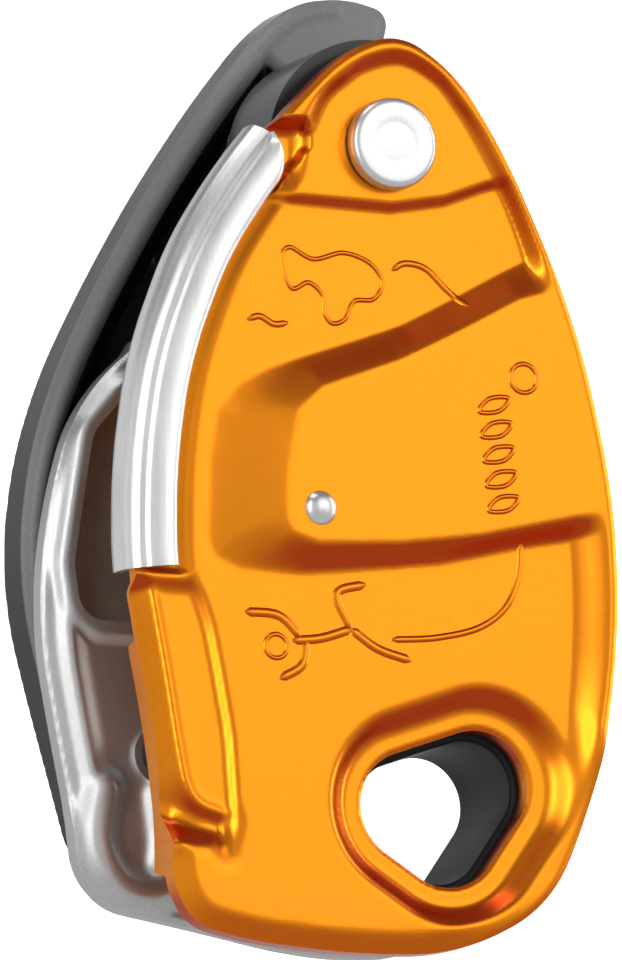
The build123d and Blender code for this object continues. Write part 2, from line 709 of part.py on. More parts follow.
with BuildPart() as handle:
    with BuildSketch(layer(handle_back)):
        add(handle_shape)
    extrude(amount=handle_back - low_wall_front)
    with BuildSketch(layer(low_wall_front)):
        add(handle_shape)
        add(rounded_shape(outer_side, 0.5), mode=Mode.INTERSECT)
    extrude(amount=low_wall_front - handle_front)
    with BuildSketch(layer(floor_front)):
        add(handle_inside)
    extrude(amount=handle_depth, mode=Mode.SUBTRACT)
    with BuildSketch(layer(floor_front + 1.0)):
        add(smooth_shape(handle_outline, -handle_wall / 2))
        with Locations(at(0.0, tab_line)):
            Rectangle(60.0, 20.0 * stretch_z, align=(Align.CENTER, Align.MIN), mode=Mode.INTERSECT)
    extrude(amount=floor_front + 1.0 - tab_front)
    with BuildSketch(layer(floor_front)):
        with Locations(hinge):
            Circle(hinge_radius + hinge_bush_wall + hinge_boss_width)
    extrude(amount=floor_front - low_wall_front)
    with BuildSketch(layer(handle_back)):
        with Locations(hinge):
            Circle(hinge_radius + hinge_bush_wall + seated)
        with Locations(*handle_rivet_places):
            Circle(handle_rivet_radius + seated)
    extrude(amount=handle_depth, mode=Mode.SUBTRACT)
save(handle.part, "handle_shell")

with BuildPart() as insert:
    with BuildSketch(layer(floor_front)):
        add(insert_shape)
        with Locations(at(0.0, tab_line)):
            Rectangle(60.0, 20.0 * stretch_z, align=(Align.CENTER, Align.MIN), mode=Mode.SUBTRACT)
        with Locations(hinge):
            Circle(hinge_radius + hinge_bush_wall + hinge_boss_width + side_play, mode=Mode.SUBTRACT)
        with Locations(*handle_rivet_places):
            Circle(handle_rivet_radius + seated, mode=Mode.SUBTRACT)
    extrude(amount=insert_thickness)
    with BuildSketch(layer(floor_front - insert_thickness)):
        add(ribbon_shape(rib_points, insert_rib))
    extrude(amount=insert_rib_height)
save(insert.part, "handle_insert")
insert_front = floor_front - insert_thickness
rivets("handle_rivets", handle_rivet_places, handle_rivet_radius, insert_front, handle_back - shank_short,
       front_head=handle_rivet_height, head_radius=handle_rivet_radius + handle_rivet_lap)
ring("hinge_bush", hinge_radius + running, hinge_radius + hinge_bush_wall, low_wall_front, handle_back, hinge)

hinge_pin_front = carrier_front - hinge_front_head
hinge_pin_back = handle_back + side_play
hinge_head_radius = hinge_radius + hinge_head_lap
turned("hinge_pin", [
    (hinge_head_radius, hinge_pin_front, carrier_front), (hinge_radius, carrier_front, hinge_pin_back),
    (hinge_head_radius, hinge_pin_back, hinge_pin_back + hinge_head_height),
], hinge)

# ---------------------------------------------------------------- selector knob on the back
knob_front = fixed_back + side_play
knob_back = knob_front + selector_height
with BuildPart() as knob:
    with BuildSketch(layer(knob_back)):
        with Locations(selector):
            Circle(selector_radius)
            with PolarLocations(selector_radius + 0.4, selector_flutes, start_angle=30):
                Circle(selector_flute_radius, mode=Mode.SUBTRACT)
    extrude(amount=selector_height)
    with BuildSketch(layer(knob_back)):
        with Locations(selector):
            Rectangle(selector_ridge[0], selector_ridge[1])
    extrude(amount=-selector_ridge[2], taper=rise_slope)
    with BuildSketch(layer(knob_front)):
        with Locations(selector):
            Circle(selector_shaft_radius)
    extrude(amount=knob_front - fixed_inner + side_play)
    with BuildSketch(layer(knob_front)):
        with Locations(selector):
            Circle(selector_screw_radius + seated)
    extrude(amount=knob_front - fixed_inner + side_play, mode=Mode.SUBTRACT)
save(knob.part, "selector_knob")
screw_seat = fixed_inner - side_play
turned("selector_screw", [
    (selector_shaft_radius + selector_screw_lap, screw_seat - selector_screw_height, screw_seat),
    (selector_screw_radius, screw_seat, knob_front),
], selector)
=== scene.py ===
"""Looks of a belay device: its pressed plates, edge strip, folding handle and fittings, and a studio."""

import math

import bpy
import numpy as np
from bpy.props import FloatProperty, IntProperty, PointerProperty
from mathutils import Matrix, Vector


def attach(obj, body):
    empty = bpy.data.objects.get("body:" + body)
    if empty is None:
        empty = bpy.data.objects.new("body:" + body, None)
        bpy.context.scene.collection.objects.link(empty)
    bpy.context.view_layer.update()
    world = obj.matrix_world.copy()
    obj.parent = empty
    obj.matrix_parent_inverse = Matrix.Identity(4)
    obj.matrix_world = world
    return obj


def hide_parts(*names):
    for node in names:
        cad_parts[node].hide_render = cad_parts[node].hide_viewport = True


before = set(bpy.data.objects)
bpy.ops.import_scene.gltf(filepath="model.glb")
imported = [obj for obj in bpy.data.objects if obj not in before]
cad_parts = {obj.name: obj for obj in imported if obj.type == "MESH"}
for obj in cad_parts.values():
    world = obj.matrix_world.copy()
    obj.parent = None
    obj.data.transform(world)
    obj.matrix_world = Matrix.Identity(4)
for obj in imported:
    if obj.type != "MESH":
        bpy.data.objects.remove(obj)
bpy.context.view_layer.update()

bl_info = {
    "name": "Belay Device Looks",
    "version": (1, 0, 0),
    "blender": (4, 5, 0),
    "location": "View3D > Sidebar > Belay",
    "description": "Builds the detailed pieces of a belay device around its packed frame",
    "category": "Object",
}

MM = 0.001

# where the faces stand, as Y in millimetres
POCKET_FLOOR = -9.1
MOVING_INNER = -6.5
FIXED_FRONT = 6.5
FIXED_BACK = 9.1
HANDLE_FLOOR = 16.0
HANDLE_BACK = 18.4
SHEET = 2.6

# ------------------------------------------------------------------ outlines, in millimetres, as (X, Z)
MOVING_OUTLINE = [
    (-7.5, 90.5), (0.0, 85.8), (6.0, 77.0), (15.2, 57.8), (20.0, 37.0), (20.55, 21.0), (18.0, 2.3),
    (13.2, -10.6), (1.6, -17.1), (-12.0, -17.9), (-25.0, -17.1), (-32.2, -15.6), (-35.0, -11.0),
    (-34.9, -4.0), (-36.2, 6.5), (-38.4, 17.5), (-40.0, 26.0), (-40.0, 38.0), (-38.2, 51.0),
    (-33.2, 64.2), (-27.6, 73.0), (-22.0, 80.0), (-14.6, 87.6),
]
FIXED_OUTLINE = [
    (-7.5, 90.0), (-0.4, 85.4), (5.6, 77.0), (14.8, 57.8), (19.6, 37.0), (20.2, 21.0), (17.2, 2.5),
    (11.4, -9.8), (0.5, -16.0), (-12.0, -16.0), (-26.0, -13.6), (-36.6, -12.0), (-40.4, -8.0),
    (-41.2, -1.0), (-43.0, 7.5), (-45.0, 18.0), (-45.2, 27.0), (-43.9, 36.0), (-41.6, 44.4),
    (-37.8, 50.2), (-31.6, 55.8), (-28.2, 61.5), (-26.4, 68.0), (-23.4, 74.6), (-19.6, 81.0),
    (-14.4, 87.0),
]
HANDLE_OUTLINE = [
    (-4.0, 98.5), (1.4, 97.2), (0.6, 93.2), (-5.5, 84.5), (-12.0, 74.0), (-17.0, 62.0), (-20.0, 49.0),
    (-21.0, 36.0), (-20.0, 22.0), (-17.4, 10.0), (-16.6, 1.0), (-21.0, -5.8), (-29.0, -8.0),
    (-36.8, -5.6), (-39.6, 4.0), (-42.4, 13.5), (-44.8, 22.5), (-45.5, 31.5), (-44.2, 42.0),
    (-41.0, 52.0), (-35.6, 63.0), (-29.0, 74.7), (-21.6, 85.7), (-15.4, 93.6), (-10.6, 97.6),
]
LIP_SIDE = [
    (-60.0, 0.0), (-36.5, 1.0), (-35.0, 8.0), (-36.5, 26.0), (-35.5, 44.0), (-26.0, 63.0), (-15.5, 78.5),
    (-7.5, 90.0), (-5.0, 110.0), (-60.0, 110.0),
]
WINDOW = [(-29.0, 21.5), (-40.6, 21.5), (-41.6, 28.0), (-39.2, 43.5), (-34.5, 49.0), (-29.0, 49.0)]
EYE_CENTRES = [(-4.1, 0.0), (4.1, 3.0), (0.3, -2.7)]
EYE_CORNER = 6.5
PIVOT = (-8.5, 77.1)
HINGE = (-27.0, 4.0)
SMALL_RIVET = (-17.6, 33.6)

# the moving plate's pressed relief: where the walls end above and below
RIM_TOP = [
    (-60.0, 80.0), (-26.0, 79.4), (-22.4, 78.6), (-20.2, 79.4), (-17.8, 82.7), (-14.5, 85.6),
    (-11.3, 87.5), (-7.2, 88.2), (-2.6, 86.2), (0.4, 83.1), (3.4, 79.6), (6.0, 75.2), (8.6, 70.4),
    (10.8, 65.6), (12.6, 61.2), (15.2, 52.0), (17.0, 45.0), (18.2, 38.0), (19.0, 31.0), (19.3, 24.0),
    (19.0, 17.0), (17.9, 10.0), (16.0, 2.5), (13.6, -4.0), (10.0, -9.5), (6.5, -13.0), (3.0, -16.0),
    (0.0, -30.0), (-60.0, -30.0),
]
RIM_BASE = [
    (-60.0, 78.4), (-26.0, 77.6), (-21.6, 75.4), (-18.6, 76.6), (-16.1, 81.7), (-13.7, 84.0),
    (-11.0, 85.9), (-6.6, 87.0), (-2.4, 85.1), (0.0, 82.4), (2.3, 79.1), (4.5, 75.5), (6.4, 72.4),
    (8.2, 68.4), (9.6, 64.2), (11.4, 58.0), (13.0, 50.0), (14.0, 42.0), (15.0, 34.0), (15.5, 28.0),
    (15.5, 20.0), (14.8, 10.5), (12.9, 2.5), (10.3, -4.6), (6.4, -11.0), (3.0, -15.0), (0.0, -30.0),
    (-60.0, -30.0),
]
BAND_TOP = [
    (30.0, 66.0), (7.8, 59.9), (0.0, 55.6), (-7.5, 51.7), (-17.3, 47.9), (-20.5, 44.7), (-21.7, 37.1),
    (-21.8, 31.9), (-21.1, 30.5), (-17.8, 29.5), (-7.5, 30.1), (2.7, 31.6), (14.9, 34.6), (30.0, 38.0),
]
BAND_BASE = [
    (30.0, 74.0), (12.0, 66.5), (3.8, 61.9), (-1.4, 58.9), (-6.4, 56.2), (-12.6, 53.9), (-23.3, 50.1),
    (-26.9, 48.2), (-29.7, 44.9), (-30.6, 39.2), (-30.9, 29.7), (-30.0, 27.6), (-26.9, 26.4),
    (-19.2, 26.2), (-13.6, 26.9), (-1.4, 28.6), (8.9, 31.2), (14.5, 32.3), (30.0, 36.0),
]
PAD = [
    (-26.0, 70.4), (-21.5, 69.8), (-14.9, 69.7), (-7.8, 69.6), (-1.0, 70.9), (4.0, 72.9), (9.0, 74.4),
    (9.0, 95.0), (-26.0, 95.0),
]

# the rope guide at its lower left: the floor's edge there, a ridge beside it and a small hollow below
GUIDE_EDGE = [
    (-60.0, 25.2), (-34.5, 25.2), (-32.4, 24.3), (-30.6, 20.3), (-29.5, 15.8), (-28.6, 11.2),
    (-27.8, 6.8), (-27.4, 2.1), (-27.1, -2.4), (-27.3, -6.6), (-28.2, -8.8), (-30.4, -9.8),
    (-36.0, -9.4), (-60.0, -9.2),
]
GUIDE_RIDGE = [
    (-38.0, 25.0), (-37.2, 20.5), (-36.2, 15.5), (-35.2, 10.0), (-34.2, 4.4), (-33.2, 0.4),
    (-31.6, -1.6), (-28.6, -2.6),
]
GUIDE_HOLLOW = [(-27.9, -3.6), (-28.2, -5.0), (-28.6, -6.8)]

# marks pressed into the moving plate: a plain mitten, rope lines and a plain hanging figure
HAND_MARK = [
    (-20.4, 59.6), (-21.6, 63.0), (-20.6, 64.4), (-17.6, 63.2), (-13.8, 64.2), (-10.4, 63.2),
    (-8.8, 61.0), (-10.0, 59.0), (-12.4, 58.6), (-13.6, 56.4), (-15.2, 55.8), (-16.2, 57.0),
    (-16.4, 59.0), (-18.2, 60.4),
]
ROPE_MARKS = [
    [(-26.0, 55.5), (-24.4, 56.0), (-22.6, 55.2), (-20.8, 55.5)],
    [(-7.6, 62.6), (-6.0, 63.5), (-3.4, 63.1), (-0.8, 60.9), (1.8, 58.9)],
    [(8.8, 31.4), (8.5, 27.6), (6.9, 23.9), (3.4, 21.2), (-2.0, 19.7), (-7.6, 19.1)],
]
FIGURE_MARKS = [
    [(-20.2, 18.2), (-16.6, 18.7), (-12.8, 20.0)],
    [(-19.2, 18.7), (-22.0, 21.0), (-26.2, 21.2)],
    [(-18.4, 18.3), (-19.0, 15.4), (-21.8, 13.6)],
    [(-12.8, 20.0), (-14.6, 24.0), (-11.0, 25.4)],
    [(-12.8, 20.0), (-9.4, 17.9), (-5.2, 16.8)],
]
RING_MARKS = [((-22.3, 17.4), 1.4), ((8.2, 50.6), 1.7)]
TWIST_MARKS = [(5.6 - 0.3 * step, 35.6 + 2.9 * step) for step in range(5)]


# ------------------------------------------------------------------ curves and height fields
def rounded(points, closed=True, step=0.5):
    """A smooth line through the points, sampled about every step millimetres."""
    given = np.array(points, float)
    count = len(given)
    line = []
    for i in range(count if closed else count - 1):
        if closed:
            a, b, c, d = (given[(i + k) % count] for k in (-1, 0, 1, 2))
        else:
            b, c = given[i], given[i + 1]
            a = given[i - 1] if i else 2 * b - c
            d = given[i + 2] if i + 2 < count else 2 * c - b
        parts = max(2, int(np.hypot(*(c - b)) / step))
        for t in np.arange(parts) / parts:
            square, cube = 2 * a - 5 * b + 4 * c - d, 3 * b - a - 3 * c + d
            line.append(0.5 * (2 * b + (c - a) * t + square * t ** 2 + cube * t ** 3))
    if not closed:
        line.append(given[-1])
    return np.array(line)


def filleted(points, radius=None, step=0.4):
    """A closed outline with its corners rounded, as far as its sides allow where no radius is given."""
    given = np.array(points, float)
    line = []
    for i in range(len(given)):
        before, here, after = given[i - 1], given[i], given[(i + 1) % len(given)]
        side_in, side_out = np.hypot(*(before - here)), np.hypot(*(after - here))
        u = (before - here) / side_in
        w = (after - here) / side_out
        half = math.acos(max(-1.0, min(1.0, float(u @ w)))) / 2
        reach = radius / math.tan(half) if radius else 0.47 * min(side_in, side_out)
        start, end = here + u * reach, here + w * reach
        bend = reach * math.tan(half)
        centre = here + (u + w) / np.hypot(*(u + w)) * bend / math.sin(half)
        a0 = math.atan2(*(start - centre)[::-1])
        turn = (math.atan2(*(end - centre)[::-1]) - a0 + math.pi) % (2 * math.pi) - math.pi
        for t in np.linspace(0, 1, max(3, int(abs(turn) * bend / step))):
            line.append(centre + bend * np.array([math.cos(a0 + turn * t), math.sin(a0 + turn * t)]))
    return np.array(line)


def eye_line(grow=0.0, steps=28):
    """The eye's rounded triangle, grown by that much."""
    order = [EYE_CENTRES[0], EYE_CENTRES[2], EYE_CENTRES[1]]
    line = []
    for i, here in enumerate(order):
        before, after = order[i - 1], order[(i + 1) % 3]
        a0 = math.atan2(here[1] - before[1], here[0] - before[0]) - math.pi / 2
        a1 = math.atan2(after[1] - here[1], after[0] - here[0]) - math.pi / 2
        turn = (a1 - a0) % (2 * math.pi)
        for t in np.linspace(0, 1, steps):
            angle = a0 + turn * t
            radius = EYE_CORNER + grow
            line.append((here[0] + radius * math.cos(angle), here[1] + radius * math.sin(angle)))
    return np.array(line)


def distance(x, z, line, closed=True):
    """Distance from each point to a line, negative inside it where it is closed."""
    start = line
    end = np.roll(line, -1, axis=0)
    if not closed:
        start, end = line[:-1], line[1:]
    flat_x, flat_z = x.ravel(), z.ravel()
    best = np.full(flat_x.shape, 1e9)
    crossings = np.zeros(flat_x.shape, int)
    for (ax, az), (bx, bz) in zip(start, end):
        ux, uz = bx - ax, bz - az
        size = ux * ux + uz * uz + 1e-12
        t = np.clip(((flat_x - ax) * ux + (flat_z - az) * uz) / size, 0, 1)
        best = np.minimum(best, (flat_x - ax - t * ux) ** 2 + (flat_z - az - t * uz) ** 2)
        if closed and az != bz:
            crosses = (az > flat_z) != (bz > flat_z)
            crossings += crosses & (flat_x < ax + (flat_z - az) * ux / uz)
    far = np.sqrt(best)
    if closed:
        far = np.where(crossings % 2 == 1, -far, far)
    return far.reshape(x.shape)


def step_up(value, low=0.0, high=1.0):
    """Rises smoothly from 0 at low to 1 at high."""
    t = np.clip((value - low) / (high - low), 0, 1)
    return t * t * (3 - 2 * t)


def ramp(past_low, before_high):
    """0 at the foot of a wall and 1 at its top, from the distances to the two lines."""
    t = np.clip(past_low / np.maximum(past_low + before_high, 1e-6), 0, 1)
    t = np.where(before_high <= 0, 1.0, np.where(past_low <= 0, 0.0, t))
    return 0.8 * t + 0.2 * t * t * (3 - 2 * t)


def softened(field, radius, cell):
    """A field blurred over about that radius, which rounds its edges."""
    reach = max(1, int(round(2 * radius / cell)))
    weights = np.exp(-0.5 * (np.arange(-reach, reach + 1) * cell / radius) ** 2)
    weights /= weights.sum()
    out = field
    for axis in (0, 1):
        padded = np.pad(out, [(reach, reach) if k == axis else (0, 0) for k in (0, 1)], mode="edge")
        total = np.zeros_like(out)
        for k, weight in enumerate(weights):
            part = [slice(None), slice(None)]
            part[axis] = slice(k, k + out.shape[axis])
            total += weight * padded[tuple(part)]
        out = total
    return out


def circle(centre, radius, count):
    """That many points round a circle."""
    turn = np.linspace(0, 2 * math.pi, count + 1)[:-1]
    return np.array([(centre[0] + radius * math.cos(a), centre[1] + radius * math.sin(a)) for a in turn])


class Sheet:
    """A grid over an outline on which a pressed sheet's front and back faces are worked out."""

    def __init__(self, outline, cell, holes=()):
        self.cell = cell
        low, high = outline.min(axis=0) - 2 * cell, outline.max(axis=0) + 2 * cell
        self.xs = np.arange(low[0], high[0], cell)
        self.zs = np.arange(low[1], high[1], cell)
        self.x, self.z = np.meshgrid(self.xs, self.zs, indexing="ij")
        self.edge = distance(self.x, self.z, outline)
        self.solid = self.edge
        for hole in holes:
            self.solid = np.maximum(self.solid, -distance(self.x, self.z, hole))

    def sample(self, field, x, z):
        """The field's value at any points, between the grid's."""
        u = np.clip((np.asarray(x) - self.xs[0]) / self.cell, 0, len(self.xs) - 1.001)
        w = np.clip((np.asarray(z) - self.zs[0]) / self.cell, 0, len(self.zs) - 1.001)
        i, j = u.astype(int), w.astype(int)
        u, w = u - i, w - j
        return (field[i, j] * (1 - u) * (1 - w) + field[i + 1, j] * u * (1 - w)
                + field[i, j + 1] * (1 - u) * w + field[i + 1, j + 1] * u * w)

    def mesh(self, name, front, back):
        """A closed mesh between the two faces, cut along the outline, shaded by the faces' own slopes."""
        xs, zs, solid = self.xs, self.zs, self.solid
        inside = solid < 0
        number = -np.ones(inside.shape, int)
        number[inside] = np.arange(inside.sum())
        points = list(zip(self.x[inside], self.z[inside]))
        faces, walls, cuts = [], [], {}

        def cut(a, b):
            key = (a, b) if a < b else (b, a)
            if key not in cuts:
                (i, j), (k, m) = key
                t = solid[i, j] / (solid[i, j] - solid[k, m])
                cuts[key] = len(points)
                points.append((xs[i] + t * (xs[k] - xs[i]), zs[j] + t * (zs[m] - zs[j])))
            return cuts[key]

        whole = inside[:-1, :-1] & inside[1:, :-1] & inside[1:, 1:] & inside[:-1, 1:]
        some = (inside[:-1, :-1] | inside[1:, :-1] | inside[1:, 1:] | inside[:-1, 1:]) & ~whole
        for i, j in zip(*np.nonzero(whole)):
            faces.append((number[i, j], number[i + 1, j], number[i + 1, j + 1], number[i, j + 1]))
        for i, j in zip(*np.nonzero(some)):
            corners = [(i, j), (i + 1, j), (i + 1, j + 1), (i, j + 1)]
            face, ends = [], []
            for k, here in enumerate(corners):
                after = corners[(k + 1) % 4]
                if inside[here]:
                    face.append(number[here])
                if inside[here] != inside[after]:
                    face.append(cut(here, after))
                    ends.append(face[-1] if inside[here] else -face[-1] - 1)
            faces.append(tuple(face))
            for k, end in enumerate(ends):
                if end >= 0:
                    walls.append((end, -ends[(k + 1) % len(ends)] - 1))
        points = np.array(points)
        total = len(points)
        vertices, normals = [], []
        for field, way in ((front, -1.0), (back, 1.0)):
            slope_x, slope_z = np.gradient(field, self.cell)
            y = self.sample(field, points[:, 0], points[:, 1])
            nx = self.sample(slope_x, points[:, 0], points[:, 1])
            nz = self.sample(slope_z, points[:, 0], points[:, 1])
            normal = np.stack([-nx * way, np.full(total, way), -nz * way], axis=1)
            normals.append(normal / np.linalg.norm(normal, axis=1)[:, None])
            vertices.append(np.stack([points[:, 0], y, points[:, 1]], axis=1))
        slope_x, slope_z = np.gradient(self.solid, self.cell)
        nx = self.sample(slope_x, points[:, 0], points[:, 1])
        nz = self.sample(slope_z, points[:, 0], points[:, 1])
        outward = np.stack([nx, np.zeros(total), nz], axis=1)
        outward /= np.maximum(np.linalg.norm(outward, axis=1), 1e-6)[:, None]
        mesh = bpy.data.meshes.new(name)
        every = list(faces) + [tuple(total + v for v in reversed(face)) for face in faces]
        first_wall = len(every)
        every += [(b, a, a + total, b + total) for a, b in walls]
        mesh.from_pydata((np.concatenate(vertices) * MM).tolist(), [], every)
        normals = np.concatenate(normals)
        for polygon in mesh.polygons:
            polygon.use_smooth = True
        mesh.update()
        loops = []
        for index, polygon in enumerate(mesh.polygons):
            if index < first_wall:
                loops += [tuple(normals[v]) for v in polygon.vertices]
            else:
                loops += [tuple(outward[v % total]) for v in polygon.vertices]
        mesh.normals_split_custom_set(loops)
        return mesh


def add_piece(name, mesh, material, body, slot, *nodes):
    """Links a mesh as a piece that rides on a body and stands for those nodes."""
    piece = bpy.data.objects.new(name, mesh)
    bpy.context.scene.collection.objects.link(piece)
    piece.data.materials.append(material)
    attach(piece, body)
    if nodes:
        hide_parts(*nodes)
    return piece


def lathe(name, profile, centre, steps=96):
    """A round piece along Y from its profile of (radius, Y), with an end on the axis at both ends."""
    vertices, faces = [], []
    for radius, y in profile:
        for k in range(steps):
            angle = 2 * math.pi * k / steps
            x, z = centre[0] + radius * math.cos(angle), centre[1] + radius * math.sin(angle)
            vertices.append((x * MM, y * MM, z * MM))
    rings = len(profile)
    for ring in range(rings - 1):
        for k in range(steps):
            after = (k + 1) % steps
            low, high = ring * steps, (ring + 1) * steps
            faces.append((low + k, low + after, high + after, high + k))
    faces.append(tuple(reversed(range(steps))))
    faces.append(tuple(range((rings - 1) * steps, rings * steps)))
    mesh = bpy.data.meshes.new(name)
    mesh.from_pydata(vertices, [], faces)
    mesh.validate()
    mesh.update()
    for polygon in mesh.polygons:
        polygon.use_smooth = len(polygon.vertices) == 4
    mesh.set_sharp_from_angle(angle=math.radians(35))
    return mesh


# ------------------------------------------------------------------ materials
class Nodes:
    """A short way to wire the nodes of a new material, or of one already made."""

    def __init__(self, material):
        self.material = bpy.data.materials.new(material) if isinstance(material, str) else material
        self.material.use_nodes = True
        self.tree = self.material.node_tree
        self.shader = self.tree.nodes["Principled BSDF"]
        coordinates = self.tree.nodes.new("ShaderNodeTexCoord")
        self.place, self.facing = coordinates.outputs["Object"], coordinates.outputs["Normal"]

    def new(self, kind, inputs=(), **settings):
        node = self.tree.nodes.new(kind)
        for key, value in settings.items():
            setattr(node, key, value)
        for key, value in dict(inputs).items():
            if isinstance(value, bpy.types.NodeSocket):
                self.tree.links.new(value, node.inputs[key])
            else:
                node.inputs[key].default_value = value
        return node

    def put(self, name, value):
        if isinstance(value, bpy.types.NodeSocket):
            self.tree.links.new(value, self.shader.inputs[name])
        else:
            self.shader.inputs[name].default_value = value

    def noise(self, scale, detail=3.0, stretch=(1, 1, 1), roughness=0.5):
        place = self.new("ShaderNodeMapping", {"Vector": self.place, "Scale": stretch}).outputs[0]
        inputs = {"Vector": place, "Scale": scale, "Detail": detail, "Roughness": roughness}
        return self.new("ShaderNodeTexNoise", inputs).outputs["Fac"]

    def span(self, value, low, high, from_low=0.3, from_high=0.7):
        inputs = {"Value": value, "From Min": from_low, "From Max": from_high, "To Min": low, "To Max": high}
        return self.new("ShaderNodeMapRange", inputs).outputs[0]

    def mix(self, factor, one, two):
        node = self.new("ShaderNodeMix", {"Factor": factor}, data_type="RGBA")
        for socket, value in ((node.inputs[6], one), (node.inputs[7], two)):
            if isinstance(value, bpy.types.NodeSocket):
                self.tree.links.new(value, socket)
            else:
                socket.default_value = (*value, 1.0)
        return node.outputs[2]

    def bump(self, height, strength, depth):
        inputs = {"Height": height, "Strength": strength, "Distance": depth}
        return self.new("ShaderNodeBump", inputs).outputs[0]

    def add(self, one, two):
        return self.new("ShaderNodeMath", {0: one, 1: two}, operation="ADD").outputs[0]

    def times(self, one, two):
        return self.new("ShaderNodeMath", {0: one, 1: two}, operation="MULTIPLY").outputs[0]


def surface_material(name, light, dark, metallic, roughness, grain, grain_depth,
                     stretch=(1, 1, 1), scratches=0.0, specular=0.5):
    """A surface whose colour and roughness wander slowly, with a fine grain and, where asked, scratches."""
    nodes = Nodes(name)
    slow = nodes.noise(60.0, 2.0)
    fine = nodes.noise(grain, 4.0, stretch, 0.65)
    cloudy = nodes.add(nodes.times(slow, 0.5), nodes.times(fine, 0.5))
    nodes.put("Base Color", nodes.mix(nodes.span(cloudy, 0.0, 1.0, 0.38, 0.62), dark, light))
    nodes.put("Metallic", metallic)
    rough = nodes.span(slow, *roughness)
    height = fine
    if scratches:
        lines = nodes.noise(260.0, 2.0, (1.0, 1.0, 18.0))
        thin = nodes.span(lines, 0.0, 1.0, 0.66, 0.72)
        rough = nodes.add(rough, nodes.times(thin, scratches))
        height = nodes.add(fine, nodes.times(thin, -0.5 * scratches))
    nodes.put("Roughness", rough)
    nodes.put("Normal", nodes.bump(height, 0.6, grain_depth * MM))
    nodes.put("Specular IOR Level", specular)
    return nodes.material


def orange_material():
    """Orange anodised sheet, with painted shade: walls that face up or down are painted a darker, redder
    orange.
    """
    made = surface_material(
        "orange_anodised", (0.93, 0.285, 0.008), (0.88, 0.255, 0.006), 0.86, (0.25, 0.31), 5200.0, 0.006,
        scratches=0.05)
    nodes = Nodes(made)
    facing = nodes.new("ShaderNodeSeparateXYZ", {0: nodes.facing}).outputs[2]
    steep = nodes.new("ShaderNodeMath", {0: facing}, operation="ABSOLUTE").outputs[0]
    base = nodes.shader.inputs["Base Color"]
    # painted shade: the more a surface faces up or down, the more it is painted a darker, redder orange,
    # standing in for the shade and red reflections such walls catch
    depth = nodes.span(steep, 0.0, 0.92, 0.14, 0.52)
    nodes.put("Base Color", nodes.mix(depth, base.links[0].from_socket, (0.50, 0.040, 0.004)))
    return made


def lever_material():
    """Black nylon with painted light and shade: the outer lip is painted pale grey for the light it catches,
    the hollow near black for its shade, and the lip is duller than the hollow.
    """
    # painted light: this pale grey of the lip, far paler than black nylon, stands in for the light the lip
    # catches
    made = surface_material(
        "lever_nylon", (0.23, 0.232, 0.228), (0.18, 0.182, 0.178), 0.0, (0.34, 0.44), 2600.0, 0.012,
        specular=0.3)
    nodes = Nodes(made)
    depth = nodes.new("ShaderNodeSeparateXYZ", {0: nodes.place}).outputs[1]
    base, rough = nodes.shader.inputs["Base Color"], nodes.shader.inputs["Roughness"]
    deep = nodes.span(depth, 0.0, 1.0, 0.0119, 0.0126)
    nodes.put("Roughness", nodes.add(rough.links[0].from_socket, nodes.times(deep, -0.18)))
    # painted shade: from Y 11.9 mm to 12.6 mm the colour goes to near black, painted shade down in the hollow
    nodes.put("Base Color", nodes.mix(deep, base.links[0].from_socket, (0.006, 0.006, 0.007)))
    return made


# each plain finish: material, light and dark colour, metal, roughness range, grain and its depth in mm
LOOKS = {
    "blasted": (
        ("blasted_aluminium", (0.60, 0.60, 0.59), (0.48, 0.48, 0.475), 0.9, (0.36, 0.46), 3600.0, 0.03), {}),
    "brushed": (
        ("brushed_stainless", (0.86, 0.855, 0.84), (0.72, 0.715, 0.70), 0.96, (0.26, 0.36), 2600.0, 0.012),
        {"stretch": (1.0, 1.0, 0.05)},
    ),
    "turned": (
        ("turned_steel", (0.74, 0.74, 0.74), (0.62, 0.62, 0.62), 0.92, (0.26, 0.36), 3000.0, 0.01), {}),
    "dark_steel": (
        ("ground_steel", (0.30, 0.285, 0.27), (0.21, 0.20, 0.19), 0.9, (0.3, 0.42), 2400.0, 0.012),
        {"stretch": (1.0, 1.0, 0.1)},
    ),
    "wire": (
        ("spring_wire", (0.42, 0.42, 0.43), (0.3, 0.3, 0.31), 0.95, (0.25, 0.35), 3000.0, 0.01), {}),
    "bronze": (
        ("bronze", (0.58, 0.38, 0.17), (0.46, 0.29, 0.12), 0.95, (0.3, 0.4), 3000.0, 0.01), {}),
    "black": (
        ("black_nylon", (0.013, 0.013, 0.014), (0.009, 0.009, 0.010), 0.0, (0.36, 0.48), 2400.0, 0.03),
        {"specular": 0.15},
    ),
    "gloss": (
        ("gloss_nylon", (0.012, 0.012, 0.013), (0.008, 0.008, 0.009), 0.0, (0.10, 0.18), 900.0, 0.008), {}),
    "grey": (
        ("grey_nylon", (0.032, 0.033, 0.035), (0.022, 0.023, 0.024), 0.0, (0.16, 0.24), 1200.0, 0.01),
        {"specular": 0.3},
    ),
    "worn_steel": (
        ("worn_steel", (0.42, 0.405, 0.385), (0.33, 0.315, 0.30), 0.85, (0.34, 0.46), 2400.0, 0.012),
        {"stretch": (1.0, 1.0, 0.1)},
    ),
    "white": (
        ("white_nylon", (0.70, 0.69, 0.64), (0.62, 0.61, 0.57), 0.0, (0.35, 0.45), 1800.0, 0.01), {}),
}
MATERIALS = {}


def material(name):
    """The named finish, made once."""
    own = {"orange": orange_material, "lever": lever_material}
    if name not in MATERIALS:
        if name in own:
            MATERIALS[name] = own[name]()
        else:
            look, extra = LOOKS[name]
            MATERIALS[name] = surface_material(*look, **extra)
    return MATERIALS[name]


